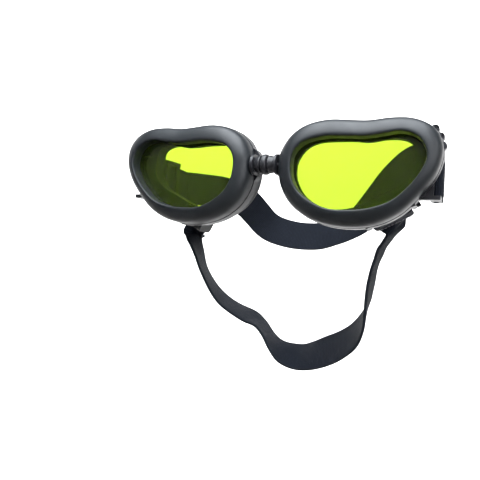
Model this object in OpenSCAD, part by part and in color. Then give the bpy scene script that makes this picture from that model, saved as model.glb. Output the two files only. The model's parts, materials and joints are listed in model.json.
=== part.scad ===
// Dog goggles: two bean shaped eye cups on a ribbed nose bridge,
// with a head strap and a chin strap of elastic webbing.
// Millimetres, X to the right, Y away from the front of the lenses, Z up.
// The origin is the middle of the nose bridge.

/* [Cups] */
// how far each cup is turned outward
cup_yaw = 4; // [0:0.5:8]
// from the middle of the bridge to the nose edge of a cup
half_gap = 6; // [5.5:0.1:7]
// half the width of one cup
cup_half = 30; // [27:0.5:33]
// how far the middle of the cups sits above the bridge
cup_lift = 1; // [0:0.1:1.5]
// how far the rim of the rear frame stands out past the bezel
rim_proud = 0.15; // [0:0.05:0.5]
// thickness of the filter lens
lens_t = 2.2; // [1.6:0.1:2.4]
// height of the face cushion above its seat
cushion_h = 6.2; // [5:0.1:8]

/* [Bridge] */
// diameter of the middle rib of the nose bridge
bridge_d = 8.2; // [7.4:0.1:9]
// width of one groove between the ribs
groove_w = 0.5; // [0.3:0.1:0.7]

/* [Straps] */
// width of the elastic webbing
strap_w = 16; // [12:0.5:16]
// thickness of the elastic webbing
strap_t = 1.3; // [1:0.1:1.5]
// diameter of the pins that carry the strap ends
pin_d = 2; // [1.6:0.1:2.2]

/* [View] */
// which sub-part to build

/* [Hidden] */
// spline steps between two outline points
steps = 3;
// all outlines are drawn for a half width of 30 and grow with cup_half
cup_share = cup_half / 30;
// nose to temple along the top, then back along the bottom
outer_pts = [
  [-30, 0], [-28.6, 5.3], [-25, 10.5], [-19, 14.3], [-11, 15.9], [-3, 15.5], [4, 15.2],
  [12, 16], [19.6, 15.5], [26.2, 12.5], [29.7, 7.3], [30, 1], [27.5, -6], [22.5, -12.8],
  [16, -19.2], [8, -23.2], [-1, -24.6], [-10, -23.9], [-18, -21.2], [-24.9, -16], [-29, -8.6]
];
inner_pts = [
  [-24.7, -0.5], [-23.6, 3.3], [-20.6, 6.8], [-15.8, 8.9], [-9.6, 9.7], [-2.8, 9.2], [3.2, 8.6],
  [9.5, 10], [15.8, 10.8], [21, 9], [24.1, 5.2], [24.8, 0.3], [22.7, -5], [18.6, -10.4],
  [13, -15.1], [6, -17.6], [-1.4, -18.5], [-9, -18.2], [-15.3, -15.7], [-20.6, -11.6], [-23.8, -6.2]
];

// depths behind the front crest of the bezel
lip_back = 5;
seal_t = 0.5;
lens_front = lip_back;
lens_back = lens_front + lens_t;
seal_back = lens_back + seal_t;
bezel_back = 9;
frame_back = 12.8;
pin_depth = frame_back + 4.4;

// cushion edges, drawn in where the strap ears stand
cushion_out = [0.78, 0.78, 0.78, 0.78, 0.78, 0.78, 0.78, 0.78, 0.75, 0.55, 0.1,
  0, 0.18, 0.08, -0.12, 0.16, 0.6, 0.78, 0.78, 0.78, 0.78];
cushion_in = [-0.25, -0.25, -0.25, -0.25, -0.25, -0.25, -0.25, -0.25, -0.28, -0.4, -0.75,
  -0.85, -0.72, -0.8, -0.95, -0.66, -0.35, -0.25, -0.25, -0.25, -0.25];
// one cushion section: share of its width, share of its height
cushion_profile = [[0.92, 0], [1, 0.22], [1, 0.55], [0.85, 0.88], [0.64, 1],
  [0.36, 1], [0.15, 0.88], [0, 0.55], [0, 0.22], [0.08, 0]];

// shares of the way from the lens opening (0) to the outside (1)
lens_edge = 0.42;
wall_in = 0.44;
wall_out = 0.70;
groove_in = 0.72;
shoulder_in = 0.10;
rim_out = 1 + rim_proud / 5.8;

// strap ends: pins held by two arms each
slot_w = strap_w + 0.6;
arm_t = 1.6;
boss_d = pin_d + 1.8;
wrap_gap = 0.1;
wrap_r = pin_d / 2 + wrap_gap + strap_t / 2;
pin_len = slot_w + 2 * arm_t + 0.6;
// head strap ear: across, up, turn
head_ear = [27.8 * cup_share, -3.4 * cup_share, 90];
chin_ear = [11.6 * cup_share, -18.4 * cup_share, 28];

// bridge
bridge_y = 6;
bridge_half = 4.3;
lug_t = 1;
stud_d = 3.2;
core_d = 1.5;
lug_d = 8;

// smooth curve through four neighbouring points
function curve_at(a, b, c, d, s) =
  0.5 * (2 * b + (c - a) * s + (2 * a - 5 * b + 4 * c - d) * s * s
  + (3 * b - a - 3 * c + d) * s * s * s);

function closed_curve(p) = [
  for (i = [0 : len(p) - 1], k = [0 : steps - 1])
    let (n = len(p))
    curve_at(p[(i + n - 1) % n], p[i], p[(i + 1) % n], p[(i + 2) % n], k / steps)
];

function open_curve(p, n) = [
  for (i = [0 : len(p) - 2], k = [0 : n - 1])
    curve_at(p[max(i - 1, 0)], p[i], p[i + 1], p[min(i + 2, len(p) - 1)], k / n),
  p[len(p) - 1]
];

inner_line = closed_curve(inner_pts * cup_share);
outer_line = closed_curve(outer_pts * cup_share);
stations = len(inner_line);

function line_at(t) = [
  for (i = [0 : stations - 1]) inner_line[i] + (outer_line[i] - inner_line[i]) * t
];

function unit(v) = v / norm(v);

// closed band of quads over a table of rings
function ring_faces(n, m) = [
  for (i = [0 : n - 1], j = [0 : m - 1])
    let (k = (i + 1) % n, l = (j + 1) % m)
    [i * m + j, i * m + l, k * m + l, k * m + j]
];

// sweeps a profile of [share, depth] points round the cup
module cup_sweep(profiles) {
  m = len(profiles[0]);
  pts = [
    for (i = [0 : stations - 1], q = profiles[i])
      let (p = inner_line[i] + (outer_line[i] - inner_line[i]) * q[0])
      [p[0], q[1], p[1]]
  ];
  polyhedron(pts, ring_faces(stations, m), convexity = 8);
}

// flat ring between two shares and two depths
module cup_ring(t_in, t_out, w_front, w_back) {
  translate([0, w_back, 0])
    rotate([90, 0, 0])
      linear_extrude(w_back - w_front)
        difference() {
          polygon(line_at(t_out));
          polygon(line_at(t_in));
        }
}

module cup_plate(t_out, w_front, w_back) {
  translate([0, w_back, 0])
    rotate([90, 0, 0])
      linear_extrude(w_back - w_front)
        polygon(line_at(t_out));
}

module place_right() {
  translate([half_gap, -bridge_y, cup_lift])
    rotate([0, 0, cup_yaw])
      translate([cup_half, 0, 0])
        children();
}

module place_left() {
  mirror([1, 0, 0])
    place_right()
      children();
}

// rounded rubber bezel with a groove for the frame wall
bezel_profile = [
  [0, lip_back], [0, 3.6], [0.05, 2.3], [0.17, 1.1], [0.36, 0.3], [0.52, 0], [0.7, 0.3],
  [0.87, 1.3], [0.97, 2.9], [1, 4.6], [1, bezel_back - 0.4], [0.96, bezel_back],
  [groove_in, bezel_back], [groove_in, lip_back]
];

module front_bezel() {
  cup_sweep([for (i = [1 : stations]) bezel_profile]);
}

module lens() {
  cup_plate(lens_edge, lens_front, lens_back);
}

module lens_seal() {
  cup_ring(shoulder_in + 0.04, lens_edge, lens_back, seal_back);
}

// arms and bosses that hold one strap pin
module ear(at, reach_low, reach_high) {
  translate([at[0], 0, at[1]])
    rotate([0, 90 - at[2], 0])
      for (side = [-1, 1])
        let (reach = side < 0 ? reach_low : reach_high)
        translate([0, 0, side * (slot_w + arm_t) / 2]) {
          translate([-reach, bezel_back + 0.6, -arm_t / 2])
            cube([reach + boss_d / 2, frame_back - bezel_back - 0.6, arm_t]);
          translate([-boss_d / 2, frame_back - 1, -arm_t / 2])
            cube([boss_d, pin_depth - frame_back + 1, arm_t]);
          translate([0, pin_depth, 0])
            cylinder(d = boss_d, h = arm_t, center = true, $fn = 48);
        }
}

module pin_at(at, d, l) {
  translate([at[0], pin_depth, at[1]])
    rotate([0, 90 - at[2], 0])
      cylinder(d = d, h = l, center = true, $fn = 48);
}

// plate that carries one end of the nose bridge, in part axes
module nose_lug() {
  difference() {
    union() {
      translate([bridge_half, 0, 0])
        rotate([0, 90, 0])
          cylinder(d = lug_d, h = lug_t, $fn = 64);
      translate([bridge_half, 0, -lug_d / 2])
        cube([lug_t, bezel_back - bridge_y + 1.5, lug_d]);
    }
    translate([bridge_half - 1, 0, 0])
      rotate([0, 90, 0])
        cylinder(d = stud_d + 0.04, h = lug_t + 2, $fn = 48);
  }
}

// web that widens the rim toward the bridge
nose_edge = -cup_half;
web_low = -3.2 - cup_lift;
gusset = [
  [nose_edge + 2, 6.5], [nose_edge - 0.2, 5.2], [nose_edge - 1.3, 3.2], [nose_edge - 1.3, web_low],
  [nose_edge - 0.2, web_low - 2], [nose_edge + 1.5, web_low - 3.6], [nose_edge + 3, 0]
];

// finger ribs on the temple edge of the frame
grip_ribs = [[29.5, 6.2], [28.6, 9.5], [26.7, 12.4]] * cup_share;
rib_d = 3.2;

// per-station shares turned into an outline
function line_of(shares) = [
  for (i = [0 : stations - 1])
    inner_line[i] + (outer_line[i] - inner_line[i]) * shares[i]
];

cushion_out_line = closed_curve(cushion_out);
cushion_in_line = closed_curve(cushion_in);

// thin floor that the cushion is glued to
module cushion_seat() {
  translate([0, frame_back, 0])
    rotate([90, 0, 0])
      linear_extrude(1.2)
        difference() {
          polygon(line_at(wall_in + 0.02));
          polygon(line_of(cushion_in_line));
        }
}

module rear_frame_part() {
  difference() {
    union() {
      place_right() {
        cup_ring(wall_in, wall_out, lens_front + 0.2, bezel_back + 0.5);
        cup_ring(wall_in, rim_out, bezel_back, frame_back);
        cup_ring(shoulder_in, wall_in + 0.02, seal_back, seal_back + 1.2);
        cushion_seat();
        translate([0, frame_back - 0.6, 0])
          rotate([90, 0, 0])
            linear_extrude(frame_back - bezel_back - 0.6)
              polygon(gusset);
        ear(head_ear, 9.4, 5);
        ear(chin_ear, 7, 5);
        for (p = grip_ribs)
          translate([p[0], frame_back - 0.3, p[1]])
            rotate([90, 0, 0])
              cylinder(d = rib_d, h = frame_back - bezel_back - 0.6, $fn = 32);
      }
      nose_lug();
    }
    place_right() {
      pin_at(head_ear, pin_d + 0.06, pin_len + 4);
      pin_at(chin_ear, pin_d + 0.06, pin_len + 4);
    }
  }
}

module face_cushion() {
  cup_sweep([
    for (i = [0 : stations - 1])
      let (a = cushion_in_line[i], b = cushion_out_line[i])
      [for (q = cushion_profile) [a + (b - a) * q[0], frame_back + cushion_h * q[1]]]
  ]);
}

// pin with a round head beyond its upper arm
pin_head_d = pin_d + 1.6;
pin_head_t = 1.6;
module strap_pin(at) {
  pin_at(at, pin_d, pin_len);
  translate([at[0], pin_depth, at[1]])
    rotate([0, 90 - at[2], 0])
      translate([0, 0, slot_w / 2 + arm_t + 0.1])
        cylinder(d = pin_head_d, h = pin_head_t, $fn = 48);
}

module strap_pins() {
  strap_pin(head_ear);
  strap_pin(chin_ear);
}

// one rib of the bridge with softened edges
module rib(at, d, w) {
  translate([at - w / 2, 0, 0])
    rotate([0, 90, 0])
      rotate_extrude($fn = 64)
        polygon([
          [0, 0], [d / 2 - 0.5, 0], [d / 2 - 0.12, 0.22], [d / 2, w / 2],
          [d / 2 - 0.12, w - 0.22], [d / 2 - 0.5, w], [0, w]
        ]);
}

module nose_bridge() {
  mid_w = 2.5;
  side_w = 2;
  side_at = mid_w / 2 + groove_w + side_w / 2;
  color([0.09, 0.09, 0.1])
    difference() {
      union() {
        rib(0, bridge_d, mid_w);
        rib(side_at, bridge_d - 0.7, side_w);
        rib(-side_at, bridge_d - 0.7, side_w);
        translate([-bridge_half, 0, 0])
          rotate([0, 90, 0])
            cylinder(d = bridge_d - 2.4, h = 2 * bridge_half, $fn = 64);
        translate([-bridge_half - lug_t, 0, 0])
          rotate([0, 90, 0])
            cylinder(d = stud_d, h = 2 * (bridge_half + lug_t), $fn = 48);
      }
      translate([-bridge_half - lug_t - 1, 0, 0])
        rotate([0, 90, 0])
          cylinder(d = core_d + 0.06, h = 2 * (bridge_half + lug_t) + 2, $fn = 32);
    }
}

module bridge_core() {
  color([0.3, 0.3, 0.32])
    translate([-bridge_half - lug_t, 0, 0])
      rotate([0, 90, 0])
        cylinder(d = core_d, h = 2 * (bridge_half + lug_t), $fn = 32);
}

// cup axes to part axes, right side
function to_part(u, w, v) = [
  half_gap + (u + cup_half) * cos(cup_yaw) - w * sin(cup_yaw),
  (u + cup_half) * sin(cup_yaw) + w * cos(cup_yaw) - bridge_y, v + cup_lift
];
function turn_part(u, w, v) = [
  u * cos(cup_yaw) - w * sin(cup_yaw), u * sin(cup_yaw) + w * cos(cup_yaw), v
];
function flip(v, side) = [v[0] * side, v[1], v[2]];

function ear_pin(ear) = to_part(ear[0], pin_depth, ear[1]);
function ear_axis(ear) = turn_part(cos(ear[2]), 0, sin(ear[2]));
// direction in which the webbing leaves the pin
run_angle = 7;
function ear_run(ear) = unit(
  ear[2] == 90 ? [-sin(run_angle), cos(run_angle), 0] : turn_part(0, 1, 0)
);
function ear_side(ear) = cross(ear_run(ear), ear_axis(ear));

layer_gap = 0.2;
pitch = strap_t + layer_gap;
join_at = 6;
// last stretch of a straight end, over which the webbing starts to gather
run_ease = 0.7;

// rings of a strap end: tail, turn round the pin, first stretch that gathers to a share;
// turned is -1 where the webbing is laid on with its edges swapped
function end_rings(ear, side, run, tail, gather, turned) =
  let (
    p = flip(ear_pin(ear), side),
    a = flip(ear_axis(ear), side) * turned,
    d = flip(ear_run(ear), side),
    m = flip(ear_side(ear), side)
  )
  [
    for (x = [tail, join_at, 4, 2])
      let (s = min(x / join_at, 1), o = -wrap_r + (2 * wrap_r - pitch) * s * s * (3 - 2 * s))
      concat(p + m * o + d * x, a, 1),
    for (k = [180 : -22.5 : 0])
      concat(p + wrap_r * (m * cos(k) - d * sin(k)), a, 1),
    for (q = [[run / 2, 1], [run - run_ease, (1 + gather) / 2], [run, gather]])
      concat(p + m * wrap_r + d * q[0], a, q[1])
  ];

// webbing with eased edges along rings of [place, width direction, width share]
module webbing(rings) {
  n = len(rings);
  hw = strap_w / 2;
  ht = strap_t / 2;
  section = [[hw, -ht / 2], [hw, ht / 2], [hw - 0.4, ht], [0.4 - hw, ht],
    [-hw, ht / 2], [-hw, -ht / 2], [0.4 - hw, -ht], [hw - 0.4, -ht]];
  m = len(section);
  function spot(i) = [rings[i][0], rings[i][1], rings[i][2]];
  function wide(i) = [rings[i][3], rings[i][4], rings[i][5]];
  pts = [
    for (i = [0 : n - 1])
      let (
        t = unit(spot(min(i + 1, n - 1)) - spot(max(i - 1, 0))),
        a = unit(wide(i) - t * (wide(i) * t)),
        b = cross(t, a)
      )
      for (q = section) spot(i) + a * q[0] * rings[i][6] + b * q[1]
  ];
  // both faces are split along the same diagonal, so a twist stays clean
  sides = [
    for (i = [0 : n - 2], j = [0 : m - 1], half = [0, 1])
      let (
        l = (j + 1) % m,
        a = i * m + j,
        b = i * m + l,
        c = (i + 1) * m + l,
        d = (i + 1) * m + j
      )
      j < m / 2
      ? (half == 0 ? [a, c, b] : [a, d, c])
      : (half == 0 ? [a, d, b] : [b, d, c])
  ];
  first = [for (j = [0 : m - 1]) j];
  last = [for (j = [m - 1 : -1 : 0]) (n - 1) * m + j];
  polyhedron(pts, concat(sides, [first, last]), convexity = 10);
}

head_run_right = 14;
head_run_left = 30;
head_mid = [
  [62.1, 33.4, -3.1, 0, 0, 1, 1], [61.2, 38.2, -1.6, 0, 0, 1, 1], [59.7, 43.6, 1.4, 0, 0, 1, 1],
  [57.2, 49.4, 5.2, -0.04, 0, 1, 1], [53.6, 55.5, 8.9, -0.12, 0, 1, 1],
  [49, 61.5, 11.2, -0.26, -0.05, 0.95, 1], [43.8, 67.3, 10.5, -0.42, -0.12, 0.88, 1],
  [38.4, 72.8, 7.4, -0.52, -0.18, 0.8, 1], [33.2, 77, 3, -0.55, -0.2, 0.77, 1],
  [27.4, 81.5, -2.8, -0.52, -0.12, 0.8, 1], [21.8, 85.6, -8, -0.42, 0, 0.86, 1],
  [15.6, 89.3, -12.8, -0.26, 0.18, 0.92, 1], [9.2, 92, -16.4, -0.1, 0.34, 0.92, 1],
  [2.6, 93.2, -18.9, 0, 0.4, 0.92, 1],
  [-6, 93.4, -21.4, 0, 0.4, 0.92, 1], [-16.5, 92.4, -21.7, 0.06, 0.4, 0.92, 1],
  [-26.4, 90, -20.1, 0.22, 0.4, 0.89, 1], [-33.2, 86.6, -17, 0.42, 0.42, 0.8, 1],
  [-37.6, 81.4, -11.4, 0.5, 0.4, 0.77, 1], [-40.6, 75, -6.8, 0.46, 0.3, 0.84, 1],
  [-43.8, 67.6, -4.2, 0.3, 0.18, 0.94, 1], [-48.4, 60, -3.2, 0.12, 0.08, 0.99, 1],
  [-54.2, 52.6, -3.2, 0, 0, 1, 1]
];
chin_run_right = 9;
chin_run_left = 18;
chin_gather = 0.87;
// last value: share of the width left where the webbing is gathered
chin_mid = [
  [46.7, 24.8, -21, 0.55, 0.2, 0.81, 0.73], [45.5, 26.9, -21.7, 0.82, 0.28, 0.5, 0.63],
  [44.4, 28.6, -23.9, 0.58, 0.49, 0.65, 0.54], [42.4, 29.4, -26.8, 0.43, 0.69, 0.59, 0.6],
  [40.3, 29.3, -30.2, 0.25, 0.84, 0.46, 0.62], [39, 29.1, -34, 0.1, 0.92, 0.38, 0.67],
  [37.8, 29, -38.4, 0.02, 0.95, 0.3, 0.75], [36.8, 29.2, -43.8, 0, 0.96, 0.25, 0.85],
  [36, 30, -49.3, -0.05, 0.96, 0.25, 0.95], [35.1, 31.3, -54.8, -0.12, 0.94, 0.3, 1],
  [33, 33.4, -61, -0.3, 0.9, 0.32, 1], [28.8, 36, -67, -0.4, 0.8, 0.45, 1],
  [22.8, 38, -71.5, -0.36, 0.72, 0.6, 1], [16.5, 39.5, -74.7, -0.26, 0.66, 0.7, 1],
  [9.8, 40.5, -77.3, -0.12, 0.72, 0.7, 1], [3.5, 41.5, -78.5, 0, 0.8, 0.6, 1],
  [-2.8, 41.5, -77.3, 0.02, 0.88, 0.45, 1], [-7.5, 41, -74.2, 0, 0.97, 0.15, 1],
  [-11, 40.5, -70, -0.05, 1, 0, 1], [-14.8, 40, -65.7, -0.02, 1, 0.04, 1],
  [-20, 39.5, -62.8, 0.08, 0.98, 0.18, 1], [-27.2, 39.2, -59.8, 0.04, 0.99, 0.12, 1],
  [-33, 39, -56.6, -0.02, 1, 0.06, 1], [-37.6, 38.6, -52.3, -0.14, 0.99, 0.03, 0.99],
  [-41.4, 38, -47.3, -0.23, 0.97, 0.04, 0.97], [-44.5, 37.7, -42.2, -0.25, 0.97, 0.03, 0.96],
  [-46.7, 37.7, -37.2, -0.19, 0.98, -0.02, 0.93], [-48.6, 37.9, -32.8, -0.02, 0.99, -0.14, 0.88],
  [-50.4, 38.1, -29.3, 0.18, 0.94, -0.3, 0.82], [-51, 38.2, -26.7, 0.24, 0.79, -0.56, 0.73],
  [-50, 37.6, -24.7, 0.28, 0.46, -0.84, 0.68], [-48.3, 36, -23.3, 0.35, 0.12, -0.93, 0.71],
  [-46.8, 34, -21.7, 0.52, -0.11, -0.85, 0.82]
];

// the free lengths reach out with the cups
reach_share = (half_gap + 2 * cup_half) / (half_gap + 2 * cup_half / cup_share);
function reached(mid) = [
  for (q = mid)
    [q[0] * reach_share, q[1], q[2] * cup_share + cup_lift, q[3], q[4], q[5], q[6]]
];

// whole strap: right end, free length, left end
function strap_rings(ear, run_right, tail_right, gather, mid, run_left, tail_left, turned, n) =
  let (
    right = end_rings(ear, 1, run_right, tail_right, gather, 1),
    left = end_rings(ear, -1, run_left, tail_left, 1, turned),
    a = len(right),
    b = len(left)
  )
  concat(
    [for (i = [0 : a - 2]) right[i]],
    open_curve(concat([right[a - 1]], reached(mid), [left[b - 1]]), n),
    [for (i = [b - 2 : -1 : 0]) left[i]]
  );

head_tail_right = 13;
head_tail_left = 30;
chin_tail_right = 8.5;
chin_tail_left = 17.5;

module head_strap() {
  color([0.12, 0.12, 0.15])
    webbing(strap_rings(head_ear, head_run_right, head_tail_right, 1, head_mid,
      head_run_left, head_tail_left, 1, 3));
}

module chin_strap() {
  color([0.12, 0.12, 0.15])
    webbing(strap_rings(chin_ear, chin_run_right, chin_tail_right, chin_gather, chin_mid,
      chin_run_left, chin_tail_left, -1, 2));
}

// axes of a strap end: X away from the cup, Y along the webbing, Z across it
module at_ear(ear) {
  place_right()
    translate([ear[0], pin_depth, ear[1]])
      rotate([0, 90 - ear[2], 0])
        rotate([0, 0, ear[2] == 90 ? run_angle - cup_yaw : 0])
          children();
}

// slider: two rails, two inner bars and a raised outer bar
slider_bar = 1.1;
slider_rail = 1.8;
slider_room = 0.15;
slider_side = 0.3;
stack_at = wrap_r - pitch / 2;
stack_half = strap_t + layer_gap / 2 + slider_room;
module slider(start, length) {
  across = strap_w + 2 * slider_side;
  deep = 2 * (stack_half + slider_bar);
  low = stack_at - stack_half - slider_bar;
  edge_r = 1.5;
  for (side = [-1, 1])
    translate([low, start, side * (across + slider_rail) / 2 - slider_rail / 2])
      linear_extrude(slider_rail)
        union() {
          translate([edge_r, 0])
            square([deep - 2 * edge_r, length]);
          translate([0, edge_r])
            square([deep, length - 2 * edge_r]);
          for (x = [edge_r, deep - edge_r], y = [edge_r, length - edge_r])
            translate([x, y])
              circle(r = edge_r, $fn = 32);
        }
  for (y = [edge_r - 0.2, length - edge_r - 1.8])
    translate([low, start + y, -across / 2 - 1])
      cube([slider_bar, 2, across + 2]);
  translate([stack_at + stack_half, start + length / 2 - 1.8, -across / 2 - 1])
    cube([slider_bar, 3.6, across + 2]);
  for (y = [-1.1, 0, 1.1])
    translate([stack_at + stack_half + slider_bar, start + length / 2 + y, 0])
      cylinder(d = 0.7, h = across, center = true, $fn = 24);
}

head_slider_start = 9;
head_slider_len = 12;
chin_slider_start = 6.5;
chin_slider_len = 9;

// rows of thread on both faces of a sewn end
thread_t = 0.25;
thread_w = 0.8;
row_pitch = 1.3;
sewn_w = strap_w - 3;
head_sewn_at = 7.4;
head_rows = 4;
chin_sewn_at = join_at + 0.2;
chin_rows = 2;
module stitches(start, rows) {
  faces = [wrap_r + strap_t / 2, wrap_r - pitch - strap_t / 2 - thread_t];
  for (i = [0 : rows - 1], x = faces)
    translate([x, start + row_pitch * i, -sewn_w / 2])
      cube([thread_t, thread_w, sewn_w]);
}

module front_bezel_right() {
  color([0.1, 0.1, 0.115])
    place_right()
      front_bezel();
}

module front_bezel_left() {
  color([0.1, 0.1, 0.115])
    place_left()
      front_bezel();
}

module lens_right() {
  color([0.72, 0.85, 0.1, 0.6])
    place_right()
      lens();
}

module lens_left() {
  color([0.72, 0.85, 0.1, 0.6])
    place_left()
      lens();
}

module lens_seal_right() {
  color([0.2, 0.2, 0.22])
    place_right()
      lens_seal();
}

module lens_seal_left() {
  color([0.2, 0.2, 0.22])
    place_left()
      lens_seal();
}

module rear_frame_right() {
  color([0.14, 0.14, 0.16])
    rear_frame_part();
}

module rear_frame_left() {
  color([0.14, 0.14, 0.16])
    mirror([1, 0, 0])
      rear_frame_part();
}

module face_cushion_right() {
  color([0.05, 0.05, 0.055])
    place_right()
      face_cushion();
}

module face_cushion_left() {
  color([0.05, 0.05, 0.055])
    place_left()
      face_cushion();
}

module strap_pins_right() {
  color([0.6, 0.6, 0.62])
    place_right()
      strap_pins();
}

module strap_pins_left() {
  color([0.6, 0.6, 0.62])
    place_left()
      strap_pins();
}

module head_strap_slider() {
  color([0.08, 0.08, 0.09])
    mirror([1, 0, 0])
      at_ear(head_ear)
        slider(head_slider_start, head_slider_len);
}

module chin_strap_slider() {
  color([0.08, 0.08, 0.09])
    mirror([1, 0, 0])
      at_ear(chin_ear)
        slider(chin_slider_start, chin_slider_len);
}

module head_strap_stitches() {
  color([0.2, 0.2, 0.24])
    at_ear(head_ear)
      stitches(head_sewn_at, head_rows);
}

module chin_strap_stitches() {
  color([0.2, 0.2, 0.24])
    at_ear(chin_ear)
      stitches(chin_sewn_at, chin_rows);
}

front_bezel_right();
lens_right();
lens_seal_right();
rear_frame_right();
face_cushion_right();
strap_pins_right();
front_bezel_left();
lens_left();
lens_seal_left();
rear_frame_left();
face_cushion_left();
strap_pins_left();
nose_bridge();
bridge_core();
head_strap();
chin_strap();
head_strap_slider();
chin_strap_slider();
head_strap_stitches();
chin_strap_stitches();
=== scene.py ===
import json
import math

import bpy
import bmesh
from mathutils import Matrix, Vector

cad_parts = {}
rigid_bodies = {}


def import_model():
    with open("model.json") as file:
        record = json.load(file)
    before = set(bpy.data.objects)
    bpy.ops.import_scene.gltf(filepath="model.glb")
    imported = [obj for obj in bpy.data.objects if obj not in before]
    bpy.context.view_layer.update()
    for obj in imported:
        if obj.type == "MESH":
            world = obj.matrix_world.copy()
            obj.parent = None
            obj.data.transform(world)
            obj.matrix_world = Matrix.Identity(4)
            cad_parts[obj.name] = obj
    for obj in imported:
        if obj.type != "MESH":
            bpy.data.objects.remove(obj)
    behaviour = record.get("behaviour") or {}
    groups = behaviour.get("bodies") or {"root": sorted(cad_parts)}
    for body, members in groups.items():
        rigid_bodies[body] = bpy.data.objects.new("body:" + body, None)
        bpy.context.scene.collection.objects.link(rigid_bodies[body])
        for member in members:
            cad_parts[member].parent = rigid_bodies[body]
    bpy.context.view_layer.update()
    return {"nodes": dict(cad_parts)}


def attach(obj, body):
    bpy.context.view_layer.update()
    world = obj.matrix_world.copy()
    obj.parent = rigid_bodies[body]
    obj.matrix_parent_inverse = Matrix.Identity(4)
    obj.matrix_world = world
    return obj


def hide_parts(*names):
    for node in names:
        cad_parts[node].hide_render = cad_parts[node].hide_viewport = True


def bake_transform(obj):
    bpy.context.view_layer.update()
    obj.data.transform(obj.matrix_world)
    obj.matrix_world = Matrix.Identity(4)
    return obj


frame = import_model()
mm = 0.001
sides = ("right", "left")
print("frame loaded")


# shader helpers

class Value:
    # one output socket that can be used in plain sums
    def __init__(self, finish, socket):
        self.finish = finish
        self.socket = socket

    def joined(self, operation, first, second):
        return self.finish.node("ShaderNodeMath", {"operation": operation}, {0: first, 1: second})

    def __add__(self, other):
        return self.joined("ADD", self, other)

    def __radd__(self, other):
        return self.joined("ADD", other, self)

    def __sub__(self, other):
        return self.joined("SUBTRACT", self, other)

    def __rsub__(self, other):
        return self.joined("SUBTRACT", other, self)

    def __mul__(self, other):
        return self.joined("MULTIPLY", self, other)

    def __rmul__(self, other):
        return self.joined("MULTIPLY", other, self)

    def __truediv__(self, other):
        return self.joined("DIVIDE", self, other)

    def __pow__(self, other):
        return self.joined("POWER", self, other)


class Finish:
    # one material and the nodes that make it
    def __init__(self, name):
        self.material = bpy.data.materials.new(name)
        self.material.use_nodes = True
        self.tree = self.material.node_tree
        self.tree.nodes.clear()

    def node(self, kind, settings=None, inputs=None, output=0):
        made = self.tree.nodes.new(kind)
        for key, value in (settings or {}).items():
            setattr(made, key, value)
        for key, value in (inputs or {}).items():
            if isinstance(value, Value):
                self.tree.links.new(value.socket, made.inputs[key])
            else:
                made.inputs[key].default_value = value
        return Value(self, made.outputs[output])

    def place(self, scale=(1, 1, 1)):
        point = self.node("ShaderNodeTexCoord", output="Object")
        return self.node("ShaderNodeMapping", None, {"Vector": point, "Scale": scale})

    def noise(self, point, scale, detail):
        return self.node("ShaderNodeTexNoise", None, {"Vector": point, "Scale": scale, "Detail": detail})

    def wave(self, number):
        return self.node("ShaderNodeMath", {"operation": "SINE"}, {0: number})

    def between(self, number, low, high, newLow=0.0, newHigh=1.0):
        return self.node("ShaderNodeMapRange", None,
                         {0: number, 1: low, 2: high, 3: newLow, 4: newHigh})

    def tint(self, factor, first, second):
        return self.node("ShaderNodeMix", {"data_type": "RGBA", "clamp_factor": True},
                         {0: factor, 6: first, 7: second}, output=2)

    def bump(self, height, strength, distance):
        return self.node("ShaderNodeBump", None,
                         {"Height": height, "Strength": strength, "Distance": distance})

    def surface(self, **sockets):
        inputs = {socketNames[key]: value for key, value in sockets.items()}
        shader = self.node("ShaderNodeBsdfPrincipled", None, inputs)
        out = self.tree.nodes.new("ShaderNodeOutputMaterial")
        self.tree.links.new(shader.socket, out.inputs[0])
        return self.material


socketNames = {
    "colour": "Base Color", "rough": "Roughness", "metal": "Metallic", "normal": "Normal",
    "ior": "IOR", "clear": "Transmission Weight", "sheen": "Sheen Weight",
    "sheenRough": "Sheen Roughness", "specular": "Specular IOR Level",
}


# materials

looks = {
    # colours in linear light; rough, smooth and dull are roughnesses
    "bezelRubber": {"colour": (0.013, 0.0155, 0.0185), "rough": 0.43},
    "bridgeRubber": {"colour": (0.02, 0.02, 0.023), "rough": 0.36},
    "sealRubber": {"colour": (0.03, 0.03, 0.033), "rough": 0.6},
    "coreRubber": {"colour": (0.09, 0.09, 0.1), "rough": 0.55},
    "framePlastic": {"colour": (0.022, 0.022, 0.026), "rough": 0.38},
    "sliderPlastic": {"colour": (0.009, 0.009, 0.011), "rough": 0.5},
    "filterLens": {"colour": (0.3, 0.47, 0.0245, 1), "clear": 0.965, "ior": 1.5},
    # the pits colour is painted shade, darker where the pores sink in; walls is the foam's own colour
    "openFoam": {"poreShade": (0.008, 0.008, 0.009, 1), "walls": (0.03, 0.03, 0.032, 1), "rough": 0.95},
    "elasticWebbing": {
        "dark": (0.0025, 0.0035, 0.0063, 1), "light": (0.0095, 0.013, 0.022, 1),
        # the lighter colour along both edges of the webbing is a painted highlight, where the edges catch
        # the light
        "edgeHighlight": (0.015, 0.018, 0.024, 1), "rough": 0.82,
        "ribs": 22,              # ribs across the webbing
        "pickPitch": 0.00075,    # m from one pick to the next
    },
    "sewnThread": {"dark": (0.06, 0.06, 0.068, 1), "light": (0.2, 0.2, 0.22, 1), "rough": 0.6},
    "drawnSteel": {"colour": (0.06, 0.06, 0.066, 1), "smooth": 0.26, "dull": 0.42, "stretch": (1, 1, 14)},
}


def brightened(colour, factor):
    return [part * factor for part in colour] + [1]


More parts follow.
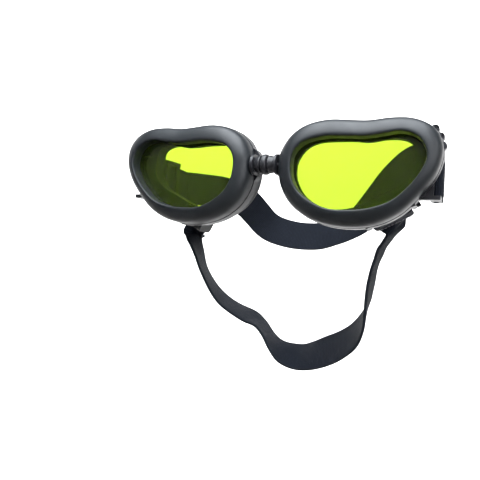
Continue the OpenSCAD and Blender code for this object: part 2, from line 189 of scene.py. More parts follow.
def softRubber(name):
    finish = Finish(name)
    colour, rough = looks[name]["colour"], looks[name]["rough"]
    point = finish.place()
    cloud = finish.between(finish.noise(point, scale=60.0, detail=2.0), 0.35, 0.65)
    shade = finish.tint(cloud, brightened(colour, 0.9), brightened(colour, 1.12))
    wear = finish.noise(point, scale=220.0, detail=4.0)
    worn = finish.between(wear, 0.3, 0.7, rough - 0.04, rough + 0.05)
    grain = finish.noise(point, scale=2600.0, detail=2.0)
    relief = finish.bump(grain, strength=0.12, distance=0.0001)
    return finish.surface(colour=shade, rough=worn, normal=relief, specular=0.45)


def mouldedPlastic(name):
    finish = Finish(name)
    colour, rough = looks[name]["colour"], looks[name]["rough"]
    point = finish.place()
    cloud = finish.between(finish.noise(point, scale=40.0, detail=2.0), 0.3, 0.7)
    shade = finish.tint(cloud, brightened(colour, 0.9), brightened(colour, 1.1))
    wear = finish.noise(point, scale=150.0, detail=4.0)
    worn = finish.between(wear, 0.3, 0.7, rough - 0.05, rough + 0.06)
    grain = finish.noise(point, scale=1900.0, detail=2.0)
    relief = finish.bump(grain, strength=0.1, distance=0.00008)
    return finish.surface(colour=shade, rough=worn, normal=relief, specular=0.5)


def clearFilter(name):
    finish = Finish(name)
    look = looks[name]
    smear = finish.between(finish.noise(finish.place(), scale=45.0, detail=3.0), 0.45, 0.75, 0.01, 0.05)
    return finish.surface(colour=look["colour"], rough=smear, clear=look["clear"], ior=look["ior"],
                          specular=0.5)


def cellFoam(name):
    finish = Finish(name)
    look = looks[name]
    point = finish.place()
    pores = finish.node("ShaderNodeTexVoronoi", {"feature": "F1"}, {"Vector": point, "Scale": 1500.0})
    # painted shade: darker in the pore hollows, lighter on the cell walls
    shade = finish.tint(finish.between(pores, 0.1, 0.6), look["poreShade"], look["walls"])
    soft = finish.noise(point, scale=300.0, detail=3.0)
    relief = finish.bump(pores + soft * 0.5, strength=0.6, distance=0.0002)
    return finish.surface(colour=shade, rough=look["rough"], normal=relief, sheen=0.2, sheenRough=0.6)


def wovenElastic(name):
    # the UV layer "strip" runs across the webbing (0 to 1) and along it (metres)
    finish = Finish(name)
    look = looks[name]
    uv = finish.node("ShaderNodeUVMap", {"uv_map": "strip"})
    across = finish.node("ShaderNodeSeparateXYZ", None, {0: uv})
    along = Value(finish, across.socket.node.outputs[1])
    ribs = finish.wave(across * (2 * math.pi * look["ribs"]))
    picks = finish.wave(along * (2 * math.pi / look["pickPitch"]) + ribs * 0.9)
    weave = ribs * 0.35 + picks * 0.65
    fuzz = finish.noise(finish.place(), scale=900.0, detail=3.0)
    base = finish.tint(finish.between(weave + fuzz * 0.8, -0.8, 1.6), look["dark"], look["light"])
    # painted highlight: a lighter band along both edges of the webbing
    edge = finish.node("ShaderNodeMath", {"operation": "ABSOLUTE"}, {0: across - 0.5})
    shade = finish.tint(finish.between(edge, 0.455, 0.485), base, look["edgeHighlight"])
    relief = finish.bump(weave, strength=0.55, distance=0.00018)
    return finish.surface(colour=shade, rough=look["rough"], specular=0.17, sheen=0.02, sheenRough=0.45,
                          normal=relief)


def twistedThread(name):
    finish = Finish(name)
    look = looks[name]
    twist = finish.noise(finish.place(), scale=1800.0, detail=2.0)
    shade = finish.tint(finish.between(twist, 0.3, 0.7), look["dark"], look["light"])
    relief = finish.bump(twist, strength=0.4, distance=0.0001)
    return finish.surface(colour=shade, rough=look["rough"], normal=relief)


def drawnMetal(name):
    finish = Finish(name)
    look = looks[name]
    streak = finish.noise(finish.place(look["stretch"]), scale=300.0, detail=3.0)
    worn = finish.between(streak, 0.3, 0.7, look["smooth"], look["dull"])
    relief = finish.bump(streak, strength=0.1, distance=0.00005)
    return finish.surface(colour=look["colour"], metal=1.0, rough=worn, normal=relief)


bezelRubber = softRubber("bezelRubber")
bridgeRubber = softRubber("bridgeRubber")
sealRubber = softRubber("sealRubber")
coreRubber = softRubber("coreRubber")
framePlastic = mouldedPlastic("framePlastic")
sliderPlastic = mouldedPlastic("sliderPlastic")
filterLens = clearFilter("filterLens")
openFoam = cellFoam("openFoam")
elasticWebbing = wovenElastic("elasticWebbing")
sewnThread = twistedThread("sewnThread")
drawnSteel = drawnMetal("drawnSteel")
print("materials ready")


# shared outline of one eye cup

cup = {
    "yaw": 4.0,            # degrees that each cup turns outward
    "halfGap": 6.0,        # mm from the middle of the bridge to a cup
    "half": 30.0,          # mm, half the width of a cup
    "bridgeDepth": 6.0,    # mm from the front crest back to the bridge
    "lift": 1.0,           # mm from the bridge up to the middle of the cups
    "steps": 5,            # spline steps between two outline points
    "outer": [(-30, 0), (-28.6, 5.3), (-25, 10.5), (-19, 14.3), (-11, 15.9), (-3, 15.5), (4, 15.2),
              (12, 16), (19.6, 15.5), (26.2, 12.5), (29.7, 7.3), (30, 1), (27.5, -6), (22.5, -12.8),
              (16, -19.2), (8, -23.2), (-1, -24.6), (-10, -23.9), (-18, -21.2), (-24.9, -16), (-29, -8.6)],
    "inner": [(-24.7, -0.5), (-23.6, 3.3), (-20.6, 6.8), (-15.8, 8.9), (-9.6, 9.7), (-2.8, 9.2), (3.2, 8.6),
              (9.5, 10), (15.8, 10.8), (21, 9), (24.1, 5.2), (24.8, 0.3), (22.7, -5), (18.6, -10.4),
              (13, -15.1), (6, -17.6), (-1.4, -18.5), (-9, -18.2), (-15.3, -15.7), (-20.6, -11.6),
              (-23.8, -6.2)],
    # mm, how far the opening's edge lies from the solids' at some of its points
    "nudged": {0: (0.8, 0), 1: (0.7, -0.3), 2: (0.5, -0.8), 3: (0, -1.25), 4: (0, -1.25), 5: (0, -0.95),
               6: (0, -0.5), 7: (0, -1.1), 8: (0, -1.1), 9: (-0.3, -0.8), 10: (-0.3, -0.3), 20: (0.4, 0)},
}


def curveAt(a, b, c, d, s):
    # a spline through b and c, at a share of the way between them
    return 0.5 * (2 * b + (c - a) * s + (2 * a - 5 * b + 4 * c - d) * s * s
                  + (3 * b - a - 3 * c + d) * s ** 3)


def closedCurve(points, steps):
    n = len(points)
    return [curveAt(points[i - 1], points[i], points[(i + 1) % n], points[(i + 2) % n], k / steps)
            for i in range(n) for k in range(steps)]


def openCurve(points, steps):
    last = len(points) - 1
    found = [curveAt(points[max(i - 1, 0)], points[i], points[i + 1], points[min(i + 2, last)], k / steps)
             for i in range(last) for k in range(steps)]
    return found + [points[last]]


def cupLine(name, steps):
    return closedCurve([Vector(point) for point in cup[name]], steps)


cup["opening"] = [Vector(point) + Vector(cup["nudged"].get(i, (0, 0)))
                  for i, point in enumerate(cup["inner"])]
innerLine = cupLine("inner", cup["steps"])
openingLine = cupLine("opening", cup["steps"])
outerLine = cupLine("outer", cup["steps"])


def cupPlace(side):
    # cup axes (across, depth, up) in mm to the part's frame in metres
    corner = Matrix.Translation((cup["halfGap"], -cup["bridgeDepth"], cup["lift"]))
    turn = Matrix.Rotation(math.radians(cup["yaw"]), 4, "Z")
    place = corner @ turn @ Matrix.Translation((cup["half"], 0, 0))
    if side == "left":
        place = Matrix.Scale(-1, 4, (1, 0, 0)) @ place
    return Matrix.Scale(mm, 4) @ place


def cupRing(share, depth, opening=innerLine):
    # points round a cup at a share of the way from the opening to the outside
    shares = share if isinstance(share, list) else [share] * len(opening)
    spots = [a + (b - a) * s for a, b, s in zip(opening, outerLine, shares)]
    return [Vector((p.x, depth, p.y)) for p in spots]


def drawThrough(bm, rings, endless=False):
    # pulls the first ring of points on through all the others, station by station
    station = bm.verts.layers.int.new("station")
    spots = [bm.verts.new(p) for p in rings[0]]
    for i, spot in enumerate(spots):
        spot[station] = i
    first = edges = [bm.edges.new((spots[i - 1], spots[i])) for i in range(len(spots))]
    for ring in rings[1:] + (rings[:1] if endless else []):
        grown = bmesh.ops.extrude_edge_only(bm, edges=edges)["geom"]
        fresh = {part for part in grown if isinstance(part, bmesh.types.BMVert)}
        for spot in fresh:
            spot.co = ring[spot[station]]
        edges = [part for part in grown if isinstance(part, bmesh.types.BMEdge)
                 and part.verts[0] in fresh and part.verts[1] in fresh]
    if endless:
        bmesh.ops.remove_doubles(bm, verts=bm.verts[:], dist=1e-5)
    return first, edges


def finishPiece(name, bm, material, body=None, smooth=True, replaced=(), outward=True):
    # outward: the faces are turned to look outward here
    if outward:
        bmesh.ops.recalc_face_normals(bm, faces=bm.faces[:])
    mesh = bpy.data.meshes.new(name)
    bm.to_mesh(mesh)
    bm.free()
    for face in mesh.polygons:
        face.use_smooth = smooth
    piece = bpy.data.objects.new(name, mesh)
    bpy.context.scene.collection.objects.link(piece)
    mesh.materials.append(material)
    if replaced:
        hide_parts(*replaced)
    if body:
        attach(piece, body)
    return piece


def addModifier(piece, kind, **settings):
    modifier = piece.modifiers.new(kind.title(), kind)
    for key, value in settings.items():
        setattr(modifier, key, value)


def rounded(piece):
    addModifier(piece, "SUBSURF", levels=1, render_levels=1)


# front bezels

bezel = {
    # share of the way from the opening to the outside, depth in mm; the crest lies near the opening
    "profile": [(0.0, 5.0), (0.0, 4.7), (0.0, 3.6), (0.0, 2.2), (0.004, 1.2), (0.02, 0.55), (0.045, 0.2),
                (0.08, 0.04), (0.13, 0.0), (0.2, 0.06), (0.3, 0.22), (0.4, 0.44), (0.5, 0.72), (0.6, 1.07),
                (0.7, 1.5), (0.8, 2.1), (0.88, 2.8), (0.94, 3.6), (0.98, 4.65), (1.0, 5.8), (1.0, 8.3),
                (0.997, 8.8), (0.97, 9.0), (0.9, 9.0), (0.74, 9.0), (0.72, 8.8), (0.72, 7.0), (0.72, 5.1),
                (0.6, 5.0), (0.3, 5.0), (0.04, 5.0)],
}


def makeBezel(side):
    bm = bmesh.new()
    drawThrough(bm, [cupRing(share, depth, openingLine) for share, depth in bezel["profile"]], endless=True)
    bmesh.ops.transform(bm, matrix=cupPlace(side), verts=bm.verts[:])
    piece = finishPiece("frontBezel_" + side, bm, bezelRubber, "cup_" + side,
                        replaced=["front_bezel_" + side])
    rounded(piece)


for side in sides:
    makeBezel(side)
print("bezels made")


# lenses: flat plates with eased edges

lens = {
    "face": 0.40,     # share of the way from the opening to the outside where the flat faces end
    "rim": 0.42,      # the same for the rim
    "front": 5.05,    # mm behind the front crest
    "back": 7.2,
    "ease": 0.2,      # mm of depth that the eased edge takes
}


def makeLens(side):
    bm = bmesh.new()
    face, rim, front, back = lens["face"], lens["rim"], lens["front"], lens["back"]
    profile = [(face, front), (rim, front + lens["ease"]), (rim, back - lens["ease"]), (face, back)]
    for edges in drawThrough(bm, [cupRing(share, depth) for share, depth in profile]):
        bmesh.ops.contextual_create(bm, geom=edges)
    bmesh.ops.transform(bm, matrix=cupPlace(side), verts=bm.verts[:])
    finishPiece("filterLens_" + side, bm, filterLens, "cup_" + side, smooth=False,
                replaced=["lens_" + side])


for side in sides:
    makeLens(side)
print("lenses made")


# rear frames and sliders: the solids' shapes with eased edges

seat = {
    # shares of the frame's seat at the outline points, as in the solids and as the photograph shows them
    "solid": [-0.25, -0.25, -0.25, -0.25, -0.25, -0.25, -0.25, -0.25, -0.28, -0.4, -0.75,
              -0.85, -0.72, -0.8, -0.95, -0.66, -0.35, -0.25, -0.25, -0.25, -0.25],
    "seen": [-0.07, -0.12, -0.12, -0.12, -0.16, -0.08, -0.08, -0.16, -0.28, -0.4, -0.75,
             -0.85, -0.72, -0.8, -0.95, -0.66, -0.33, -0.14, 0.02, 0.03, 0.0],
    "steps": 3,                # spline steps of the solids
    "depths": (11.6, 12.8),    # mm, the seat's front and back
    "reach": 3e-5,             # m, how near a vertex lies to the place that is worked out for it
}
# mm: the corner between the lower arm of the strap ear and the frame, which the photograph shows filled
web = {"corners": [(26.6, -6.2), (22.2, -12.3), (27.0, -12.3), (27.2, -6.6)], "depth": 11.6, "thick": 1.2}
easing = {
    "frame": 0.00018,    # m, width of the eased edges
    "slider": 0.0002,
    "segments": 2,
    "bentEdge": 35,      # degrees, edges that bend more are eased
    "sharpEdge": 30,     # degrees, edges that bend more have a sharp shade
    "weight": 80,        # how far the large faces rule the shade of the small ones
}


def widenSeat(bm, side):
    # draws the inner edge of the seat outward, station by station
    lines = [cupLine("inner", seat["steps"]), cupLine("outer", seat["steps"]),
             closedCurve(seat["solid"], seat["steps"]), closedCurve(seat["seen"], seat["steps"])]
    place = cupPlace(side)
    moved = 0
    for inner, outer, solid, seen in zip(*lines):
        old, new = inner + (outer - inner) * solid, inner + (outer - inner) * seen
        for depth in seat["depths"]:
            spot = place @ Vector((old.x, depth, old.y))
            for vert in bm.verts:
                if (vert.co - spot).length < seat["reach"]:
                    vert.co = place @ Vector((new.x, depth, new.y))
                    moved += 1
    print("seat points moved", moved, side)


def addWeb(bm, side):
    place = cupPlace(side)
    spots = [bm.verts.new(place @ Vector((x, web["depth"], z))) for x, z in web["corners"]]
    plate = bmesh.ops.contextual_create(bm, geom=spots)["faces"]
    grown = bmesh.ops.extrude_face_region(bm, geom=plate)["geom"]
    bmesh.ops.translate(bm, vec=place.to_3x3() @ Vector((0, web["thick"], 0)),
                        verts=[part for part in grown if isinstance(part, bmesh.types.BMVert)])


def easedCopy(node, name, material, body, width, side=None):
    # a side is given for the rear frames, which get the wider seat and the web
    bm = bmesh.new()
    bm.from_mesh(frame["nodes"][node].data)
    bmesh.ops.remove_doubles(bm, verts=bm.verts[:], dist=2e-6)
    if side:
        widenSeat(bm, side)
        addWeb(bm, side)
    piece = finishPiece(name, bm, material, body, replaced=[node])
    addModifier(piece, "BEVEL", width=width, segments=easing["segments"], limit_method="ANGLE",
                angle_limit=math.radians(easing["bentEdge"]), harden_normals=False, profile=0.5)
    addModifier(piece, "WEIGHTED_NORMAL", mode="FACE_AREA", weight=easing["weight"], keep_sharp=True)
    piece.data.set_sharp_from_angle(angle=math.radians(easing["sharpEdge"]))


def paintNode(node, material):
    data = frame["nodes"][node].data
    data.materials.clear()
    data.materials.append(material)


for side in sides:
    easedCopy("rear_frame_" + side, "rearFrame_" + side, framePlastic, "cup_" + side,
              easing["frame"], side)
for strap in ("head", "chin"):
    easedCopy(strap + "_strap_slider", strap + "Slider", sliderPlastic, strap + "_slider",
              easing["slider"])
for side in sides:
    paintNode("lens_seal_" + side, sealRubber)
    paintNode("strap_pins_" + side, drawnSteel)
print("frames and sliders made")


# face cushions

cushion = {
    "seat": 12.8,      # mm behind the front crest, the back of the frame
    "height": 6.2,     # mm
    "gap": 0.02,       # mm, kept between the frame and the foam
    # shares at the outline points, from the opening to the outside
    "outer": [0.78, 0.78, 0.78, 0.78, 0.78, 0.78, 0.78, 0.78, 0.75, 0.55, 0.1,
              0, 0.18, 0.08, -0.12, 0.16, 0.6, 0.78, 0.78, 0.78, 0.78],
    "inner": [0.14, 0.11, 0.1, 0.04, -0.05, 0.03, 0.06, -0.02, -0.25, -0.4, -0.75,
              -0.85, -0.72, -0.8, -0.95, -0.66, -0.32, -0.15, 0.06, 0.16, 0.2],
    # shares of the width and of the height
    "section": [(0.06, 0.0), (0.0, 0.12), (0.02, 0.4), (0.0, 0.62), (0.07, 0.84), (0.2, 0.97), (0.36, 1.0),
                (0.5, 1.0), (0.64, 1.0), (0.8, 0.97), (0.93, 0.84), (1.0, 0.62), (0.98, 0.4), (1.0, 0.12),
                (0.94, 0.0), (0.5, 0.0)],
}


def makeCushion(side):
    bm = bmesh.new()
    outer = closedCurve(cushion["outer"], cup["steps"])
    inner = closedCurve(cushion["inner"], cup["steps"])
    low, tall = cushion["seat"] + cushion["gap"], cushion["height"] - cushion["gap"]
    rings = []
    for share, height in cushion["section"]:
        shares = [a + (b - a) * share for a, b in zip(inner, outer)]
        rings.append(cupRing(shares, low + tall * height))
    drawThrough(bm, rings, endless=True)
    bmesh.ops.transform(bm, matrix=cupPlace(side), verts=bm.verts[:])
    piece = finishPiece("faceCushion_" + side, bm, openFoam, "cup_" + side,
                        replaced=["face_cushion_" + side])
    rounded(piece)


for side in sides:
    makeCushion(side)
print("cushions made")


# nose bridge, turned about its axis, and the cord inside it

bridge = {
    # x along the bridge, radius, in mm
    "profile": [(-5.3, 0.8), (-5.3, 1.6), (-4.3, 1.6), (-4.3, 2.5), (-4.24, 2.72), (-4.0, 2.92),
                (-3.5, 3.14), (-3.0, 3.33), (-2.5, 3.49), (-2.0, 3.6), (-1.68, 3.56), (-1.54, 3.4),
                (-1.48, 3.05), (-1.44, 2.8), (-1.3, 2.8), (-1.26, 3.1), (-1.18, 3.62), (-0.98, 3.92),
                (-0.6, 4.06), (0, 4.1)],
    "segments": 40,
}
core = {"radius": 0.75, "length": 10.6, "segments": 32, "cuts": 9}    # mm; cuts divide it along its length


def makeBridge():
    bm = bmesh.new()
    line = bridge["profile"] + [(-x, r) for x, r in reversed(bridge["profile"][:-1])]
    spots = [bm.verts.new((x * mm, 0, r * mm)) for x, r in line]
    edges = [bm.edges.new((a, b)) for a, b in zip(spots, spots[1:] + spots[:1])]
    bmesh.ops.spin(bm, geom=spots + edges, cent=(0, 0, 0), axis=(1, 0, 0), angle=2 * math.pi,
                   steps=bridge["segments"], use_merge=True)
    bmesh.ops.remove_doubles(bm, verts=bm.verts[:], dist=1e-7)
    piece = finishPiece("noseBridge", bm, bridgeRubber, replaced=["nose_bridge"])
    rounded(piece)
    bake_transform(piece)


def makeCore():
    bm = bmesh.new()
    bmesh.ops.create_cone(bm, cap_ends=True, segments=core["segments"], radius1=core["radius"] * mm,
                          radius2=core["radius"] * mm, depth=core["length"] * mm)
    turn = Matrix.Rotation(math.radians(90), 3, "Y")
    bmesh.ops.rotate(bm, cent=(0, 0, 0), matrix=turn, verts=bm.verts[:])
    lengthwise = [edge for edge in bm.edges if abs(edge.verts[0].co.x - edge.verts[1].co.x) > mm]
    bmesh.ops.subdivide_edges(bm, edges=lengthwise, cuts=core["cuts"])
    cord = finishPiece("bridgeCore", bm, coreRubber, replaced=["bridge_core"])
    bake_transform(cord)


makeBridge()
makeCore()
print("bridge made")


# straps

webbing = {
    # mm and degrees
    "width": 16.0, "thick": 1.3,
    "pin": 2.0,              # diameter of a strap pin
    "pinDepth": 4.4,         # from the back of the frame to the pins
    "wrapGap": 0.1,          # between a pin and the webbing round it
    "layerGap": 0.2,         # between the run and the tail
    "joinAt": 6.0,           # from the pin to where the tail lies against the run
    "runAngle": 7.0,         # the head strap leaves its ears this far inward
    "tailStops": (22, 18, 14, 11, 8.5),    # stations along the tails, from the pin
    "loopStops": (5, 4, 3, 2, 1),          # stations from the join to the pin
    "loopSteps": 12,         # steps of the half turn round a pin
    "gatherLength": 0.7,     # before the end of the run, where half of the gathering is done
    "ripple": {
        "short": 0.42, "long": 0.11,    # radians for each mm, of the ripple's two waves
        "start": 0.6,                   # radians, where the short one starts
        "level": 0.4,                   # square of the share of half the width that stays in place
    },
    # shares of half the width and half the thickness
    "section": [(1.0, 0.0), (0.985, 0.8), (0.95, 1.0), (0.6, 0.97), (0.2, 0.97), (-0.2, 0.97), (-0.6, 0.97),
                (-0.95, 1.0), (-0.985, 0.8), (-1.0, 0.0), (-0.985, -0.8), (-0.95, -1.0), (-0.6, -0.97),
                (-0.2, -0.97), (0.2, -0.97), (0.6, -0.97), (0.95, -1.0), (0.985, -0.8)],
}
# wrap: from the centre of a pin to the middle of the webbing; pitch: from one layer's middle to the next
webbing["wrap"] = webbing["pin"] / 2 + webbing["wrapGap"] + webbing["thick"] / 2
webbing["pitch"] = webbing["thick"] + webbing["layerGap"]

# ear: place across and up from the middle of a cup, and the tilt of its pin in degrees
# run and tail: mm from the pins; gather: share of the width that is left at the end of the right run
# turned: -1 where the width direction is reversed at the left end
# steps: spline steps between two places; ripple: height in mm
# mid: place, width direction and share of the width left where the webbing is gathered
headStrap = {
    "ear": (27.8, -3.4, 90), "runRight": 14, "runLeft": 30, "tailRight": 13, "tailLeft": 30,
    "gather": 1.0, "turned": 1, "steps": 5, "ripple": 0.12,
    "mid": [(62.1, 33.4, -3.1, 0, 0, 1, 1), (61.2, 38.2, -1.6, 0, 0, 1, 1),
            (59.7, 43.6, 1.4, 0, 0, 1, 1), (57.2, 49.4, 5.2, -0.04, 0, 1, 1),
            (53.6, 55.5, 8.9, -0.12, 0, 1, 1), (49, 61.5, 11.2, -0.26, -0.05, 0.95, 1),
            (43.8, 67.3, 10.5, -0.42, -0.12, 0.88, 1), (38.4, 72.8, 7.4, -0.52, -0.18, 0.8, 1),
            (33.2, 77, 3, -0.55, -0.2, 0.77, 1), (27.4, 81.5, -2.8, -0.52, -0.12, 0.8, 1),
            (21.8, 85.6, -8, -0.42, 0, 0.86, 1), (15.6, 89.3, -12.8, -0.26, 0.18, 0.92, 1),
            (9.2, 92, -16.4, -0.1, 0.34, 0.92, 1), (2.6, 93.2, -18.9, 0, 0.4, 0.92, 1),
            (-6, 93.4, -21.4, 0, 0.4, 0.92, 1), (-16.5, 92.4, -21.7, 0.06, 0.4, 0.92, 1),
            (-26.4, 90, -20.1, 0.22, 0.4, 0.89, 1), (-33.2, 86.6, -17, 0.42, 0.42, 0.8, 1),
            (-37.6, 81.4, -11.4, 0.5, 0.4, 0.77, 1), (-40.6, 75, -6.8, 0.46, 0.3, 0.84, 1),
            (-43.8, 67.6, -4.2, 0.3, 0.18, 0.94, 1), (-48.4, 60, -3.2, 0.12, 0.08, 0.99, 1),
            (-54.2, 52.6, -3.2, 0, 0, 1, 1)],
}
chinStrap = {
    "ear": (11.6, -18.4, 28), "runRight": 9, "runLeft": 18, "tailRight": 8.5, "tailLeft": 17.5,
    "gather": 0.87, "turned": -1, "steps": 4, "ripple": 0.1,
    "mid": [(46.7, 24.8, -21, 0.55, 0.2, 0.81, 0.73), (45.5, 26.9, -21.7, 0.82, 0.28, 0.5, 0.63),
            (44.4, 28.6, -23.9, 0.58, 0.49, 0.65, 0.54), (42.4, 29.4, -26.8, 0.43, 0.69, 0.59, 0.6),
            (40.3, 29.3, -30.2, 0.25, 0.84, 0.46, 0.62), (39, 29.1, -34, 0.1, 0.92, 0.38, 0.67),
            (37.8, 29, -38.4, 0.02, 0.95, 0.3, 0.75), (36.8, 29.2, -43.8, 0, 0.96, 0.25, 0.85),
            (36, 30, -49.3, -0.05, 0.96, 0.25, 0.95), (35.1, 31.3, -54.8, -0.12, 0.94, 0.3, 1),
            (33, 33.4, -61, -0.3, 0.9, 0.32, 1), (28.8, 36, -67, -0.4, 0.8, 0.45, 1),
            (22.8, 38, -71.5, -0.36, 0.72, 0.6, 1), (16.5, 39.5, -74.7, -0.26, 0.66, 0.7, 1),
            (9.8, 40.5, -77.3, -0.12, 0.72, 0.7, 1), (3.5, 41.5, -78.5, 0, 0.8, 0.6, 1),
            (-2.8, 41.5, -77.3, 0.02, 0.88, 0.45, 1), (-7.5, 41, -74.2, 0, 0.97, 0.15, 1),
            (-11, 40.5, -70, -0.05, 1, 0, 1), (-14.8, 40, -65.7, -0.02, 1, 0.04, 1),
            (-20, 39.5, -62.8, 0.08, 0.98, 0.18, 1), (-27.2, 39.2, -59.8, 0.04, 0.99, 0.12, 1),
            (-33, 39, -56.6, -0.02, 1, 0.06, 1), (-37.6, 38.6, -52.3, -0.14, 0.99, 0.03, 0.99),
            (-41.4, 38, -47.3, -0.23, 0.97, 0.04, 0.97), (-44.5, 37.7, -42.2, -0.25, 0.97, 0.03, 0.96),
            (-46.7, 37.7, -37.2, -0.19, 0.98, -0.02, 0.93),
            (-48.6, 37.9, -32.8, -0.02, 0.99, -0.14, 0.88),
            (-50.4, 38.1, -29.3, 0.18, 0.94, -0.3, 0.82), (-51, 38.2, -26.7, 0.24, 0.79, -0.56, 0.73),
            (-50, 37.6, -24.7, 0.28, 0.46, -0.84, 0.68), (-48.3, 36, -23.3, 0.35, 0.12, -0.93, 0.71),
            (-46.8, 34, -21.7, 0.52, -0.11, -0.85, 0.82)],
}


def earAxes(ear, side):
    # pin centre, pin axis, run direction and outward direction of a strap ear, in mm
    across, up, tilt = ear
    turn = Matrix.Rotation(math.radians(cup["yaw"]), 3, "Z")
    corner = Vector((cup["halfGap"], -cup["bridgeDepth"], cup["lift"]))
    centre = corner + turn @ Vector((across + cup["half"], cushion["seat"] + webbing["pinDepth"], up))
    axis = turn @ Vector((math.cos(math.radians(tilt)), 0, math.sin(math.radians(tilt))))
    run = turn @ Vector((0, 1, 0))
    if ear == headStrap["ear"]:
        inward = math.radians(webbing["runAngle"])
        run = Vector((-math.sin(inward), math.cos(inward), 0))
    out = run.cross(axis)
    flip = -1 if side == "left" else 1
    return [Vector((v.x * flip, v.y, v.z)) for v in (centre, axis, run, out)]


def endRings(ear, side, run, tail, gather, turned):
    # centres, width directions and shares of the width: along the tail, round the pin, along the run
    centre, axis, along, out = earAxes(ear, side)
    axis = axis * turned
    wrap, pitch, joinAt = webbing["wrap"], webbing["pitch"], webbing["joinAt"]
    rings = []
    tailStops = [x for x in webbing["tailStops"] if x < tail - 1]
    for x in [tail, *tailStops, joinAt, *webbing["loopStops"]]:
        s = min(x / joinAt, 1)
        offset = -wrap + (2 * wrap - pitch) * s * s * (3 - 2 * s)
        rings.append((centre + out * offset + along * x, axis, 1.0))
    for k in range(webbing["loopSteps"], -1, -1):
        angle = math.radians(180 / webbing["loopSteps"] * k)
        rings.append((centre + wrap * (out * math.cos(angle) - along * math.sin(angle)), axis, 1.0))
    halfway = (run - webbing["gatherLength"], (1 + gather) / 2)
    for x, share in ((run / 4, 1.0), (run / 2, 1.0), (run * 0.75, 1.0), halfway, (run, gather)):
        rings.append((centre + out * wrap + along * x, axis, share))
    return rings


def strapRings(strap):
    right = endRings(strap["ear"], "right", strap["runRight"], strap["tailRight"], strap["gather"], 1)
    left = endRings(strap["ear"], "left", strap["runLeft"], strap["tailLeft"], 1.0, strap["turned"])
    lift = Vector((0, 0, cup["lift"]))
    points = [right[-1]] + [(Vector(m[:3]) + lift, Vector(m[3:6]), m[6]) for m in strap["mid"]] + [left[-1]]
    places, widths, shares = [openCurve([p[i] for p in points], strap["steps"]) for i in range(3)]
    return right[:-1] + list(zip(places, widths, shares)) + left[-2::-1]


def shapedRings(rings, travelled, height):
    # the section at every ring, square to the way that the webbing runs, with a light ripple
    half, thick, ripple = webbing["width"] / 2, webbing["thick"] / 2, webbing["ripple"]
    last = len(rings) - 1
    shaped = []
    for i, (place, wide, share) in enumerate(rings):
        forward = (rings[min(i + 1, last)][0] - rings[max(i - 1, 0)][0]).normalized()
        across = (wide - forward * wide.dot(forward)).normalized()
        above = forward.cross(across)
        wave = math.sin(travelled[i] * ripple["short"] + ripple["start"])
        lift = height * wave * math.sin(travelled[i] * ripple["long"])
        shaped.append([(place + across * (x * half * share)
                        + above * (y * thick + lift * (x * x - ripple["level"]))) * mm
                       for x, y in webbing["section"]])
    return shaped


def makeStrap(name, strap, node):
    rings = strapRings(strap)
    section = webbing["section"]
    travelled = [0.0]
    for before, after in zip(rings, rings[1:]):
        travelled.append(travelled[-1] + (after[0] - before[0]).length)
    bm = bmesh.new()
    uv = bm.loops.layers.uv.new("strip")
    for edges in drawThrough(bm, shapedRings(rings, travelled, strap["ripple"])):
        bmesh.ops.contextual_create(bm, geom=edges)
    station = bm.verts.layers.int["station"]
    row = bm.verts.layers.int.new("row")
    bm.verts.ensure_lookup_table()
    for i, vert in enumerate(bm.verts):
        vert[row] = i // len(section)
    bmesh.ops.recalc_face_normals(bm, faces=bm.faces[:])
    for face in bm.faces:
        for corner in face.loops:
            corner[uv].uv = ((section[corner.vert[station]][0] + 1) / 2, travelled[corner.vert[row]] * mm)
    piece = finishPiece(name, bm, elasticWebbing, replaced=[node], outward=False)
    rounded(piece)
    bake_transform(piece)
    print(name, "length", round(travelled[-1]), "mm")


makeStrap("headStrap", headStrap, "head_strap")
makeStrap("chinStrap", chinStrap, "chin_strap")
print("straps made")


# stitches

sewing = {
    "half": (0.62, 0.208, 0.192),    # mm, half the length, breadth and height of a stitch
    "segments": 8, "rings": 6,
    "across": 9, "pitch": 1.45,      # stitches in a row, mm from one to the next
    "rowPitch": 1.3,                 # mm from one row to the next
    "above": 0.08,                   # mm from the webbing's face out to the middle of a stitch
    "lean": 14,                      # degrees, turned about in every second row
    "head": (7.8, 4),                # mm from the pin to the first row, and how many rows
    "chin": (6.6, 2),
}


def makeStitches(name, strap, node, start, rows):
    centre, axis, along, out = earAxes(strap["ear"], "right")
    bm = bmesh.new()
    turn = Matrix((axis, along, out)).transposed().to_4x4()
    size = Matrix.Diagonal((*sewing["half"], 1))
    outer = webbing["wrap"] + webbing["thick"] / 2                       # outer face of the run
    inner = webbing["wrap"] - webbing["pitch"] - webbing["thick"] / 2    # inner face of the tail
    for row in range(rows):
        lean = Matrix.Rotation(math.radians(sewing["lean"] if row % 2 else -sewing["lean"]), 4, "Z")
        for face in (outer + sewing["above"], inner - sewing["above"]):
            for k in range(sewing["across"]):
                across = (k - (sewing["across"] - 1) / 2) * sewing["pitch"]
                spot = Matrix.Translation((across, start + sewing["rowPitch"] * row, face))
                made = bmesh.ops.create_uvsphere(bm, u_segments=sewing["segments"],
                                                 v_segments=sewing["rings"], radius=1.0)
                bmesh.ops.transform(bm, matrix=Matrix.Translation(centre) @ turn @ spot @ lean @ size,
                                    verts=made["verts"])
    bmesh.ops.scale(bm, vec=(mm, mm, mm), verts=bm.verts[:])
    finishPiece(name, bm, sewnThread, "cup_right", replaced=[node])


makeStitches("headStitches", headStrap, "head_strap_stitches", *sewing["head"])
makeStitches("chinStitches", chinStrap, "chin_strap_stitches", *sewing["chin"])
print("stitches made")


# floor, lights and camera, in m

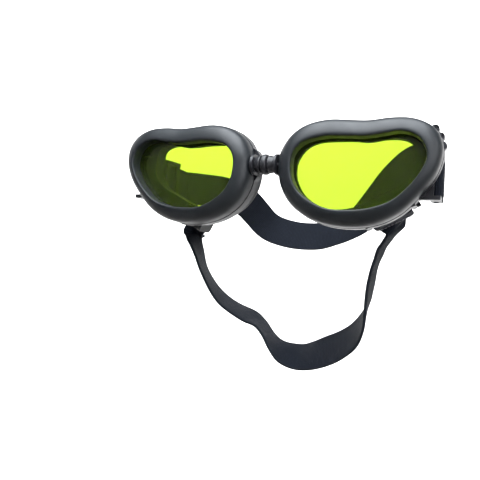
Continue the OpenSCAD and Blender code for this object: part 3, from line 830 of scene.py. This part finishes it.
stage = {
    "floor": -0.45,       # height of the floor
    "flat": 1.6,          # radius of the flat part
    "sweep": 0.8,         # radius of the bend up to the wall
    "sweepSteps": 8,
    "wall": 1.1,          # height of the wall above the bend
    "segments": 64,
    "colour": (0.5, 0.5, 0.5, 1),
    "rough": 0.9,
    "ambient": 0.12,      # strength of the light from all round
}
# power in W; near lights reach only the goggles, so that no bounce from the floor lights them from below
lights = {
    "overhead": {"place": (0.02, -0.16, 0.4), "aim": (0, 0, 0), "size": (0.5, 0.5), "power": 7.8,
                 "colour": (0.9, 0.95, 1.0), "near": True},
    "sideFill": {"place": (0.42, -0.24, 0.08), "aim": (0, 0.02, 0), "size": (0.5, 0.45), "power": 1.7,
                 "colour": (0.95, 0.97, 1.0), "near": True},
    "wallWash": {"place": (-0.7, 0.8, 1.3), "aim": (-0.9, 2.1, 0.5), "size": (2.8, 0.5), "power": 240,
                 "colour": (1, 1, 1), "near": False},
}
view = {
    "place": (0.0938, -0.2222, -0.0433),
    "right": (0.9072, 0.4159, 0.0636),     # directions of the picture's right side and top
    "up": (-0.0346, -0.0768, 0.9964),
    "lens": 46.85, "sensor": 36,    # mm
    "near": 0.01,                   # what is nearer isn't drawn
}


def makeStage():
    bm = bmesh.new()
    flat, sweep = stage["flat"], stage["sweep"]
    spots = [bm.verts.new((share * flat, 0, 0)) for share in (0, 0.5, 1.0)]
    for k in range(1, stage["sweepSteps"] + 1):
        angle = math.radians(90 * k / stage["sweepSteps"])
        spots.append(bm.verts.new((flat + sweep * math.sin(angle), 0, sweep - sweep * math.cos(angle))))
    spots.append(bm.verts.new((flat + sweep, 0, sweep + stage["wall"])))
    edges = [bm.edges.new((a, b)) for a, b in zip(spots, spots[1:])]
    bmesh.ops.spin(bm, geom=spots + edges, cent=(0, 0, 0), axis=(0, 0, 1), angle=2 * math.pi,
                   steps=stage["segments"], use_merge=True)
    bmesh.ops.remove_doubles(bm, verts=bm.verts[:], dist=1e-5)
    bmesh.ops.translate(bm, vec=(0, 0, stage["floor"]), verts=bm.verts[:])
    paint = Finish("paleFloor").surface(colour=stage["colour"], rough=stage["rough"])
    floor = finishPiece("floor", bm, paint)


def gatherPieces():
    pieces = bpy.data.collections.new("goggles")
    for piece in bpy.context.scene.objects:
        if piece.type == "MESH" and piece.name != "floor":
            pieces.objects.link(piece)
    return pieces


def makeLight(name, goggles, place, aim, size, power, colour, near):
    data = bpy.data.lights.new(name, "AREA")
    data.shape = "RECTANGLE"
    data.size, data.size_y = size
    data.energy = power
    data.color = colour
    light = bpy.data.objects.new(name, data)
    light.location = place
    light.rotation_euler = (Vector(aim) - Vector(place)).to_track_quat("-Z", "Y").to_euler()
    light.visible_camera = False
    bpy.context.scene.collection.objects.link(light)
    if near:
        light.light_linking.receiver_collection = goggles


def makeCamera():
    data = bpy.data.cameras.new("camera")
    data.lens = view["lens"]
    data.sensor_width = view["sensor"]
    data.clip_start = view["near"]
    camera = bpy.data.objects.new("camera", data)
    right, up = Vector(view["right"]), Vector(view["up"])
    turn = Matrix((right, up, right.cross(up))).transposed().to_4x4()
    camera.matrix_world = Matrix.Translation(view["place"]) @ turn
    bpy.context.scene.collection.objects.link(camera)
    bpy.context.scene.camera = camera


def makeWorld():
    world = bpy.data.worlds.new("softWorld")
    bpy.context.scene.world = world
    world.use_nodes = True
    background = world.node_tree.nodes["Background"]
    background.inputs[0].default_value = (1, 1, 1, 1)
    background.inputs[1].default_value = stage["ambient"]
    bpy.context.scene.view_settings.view_transform = "Standard"


makeStage()
goggles = gatherPieces()
for name, light in lights.items():
    makeLight(name, goggles, **light)
makeWorld()
makeCamera()
print("stage ready")
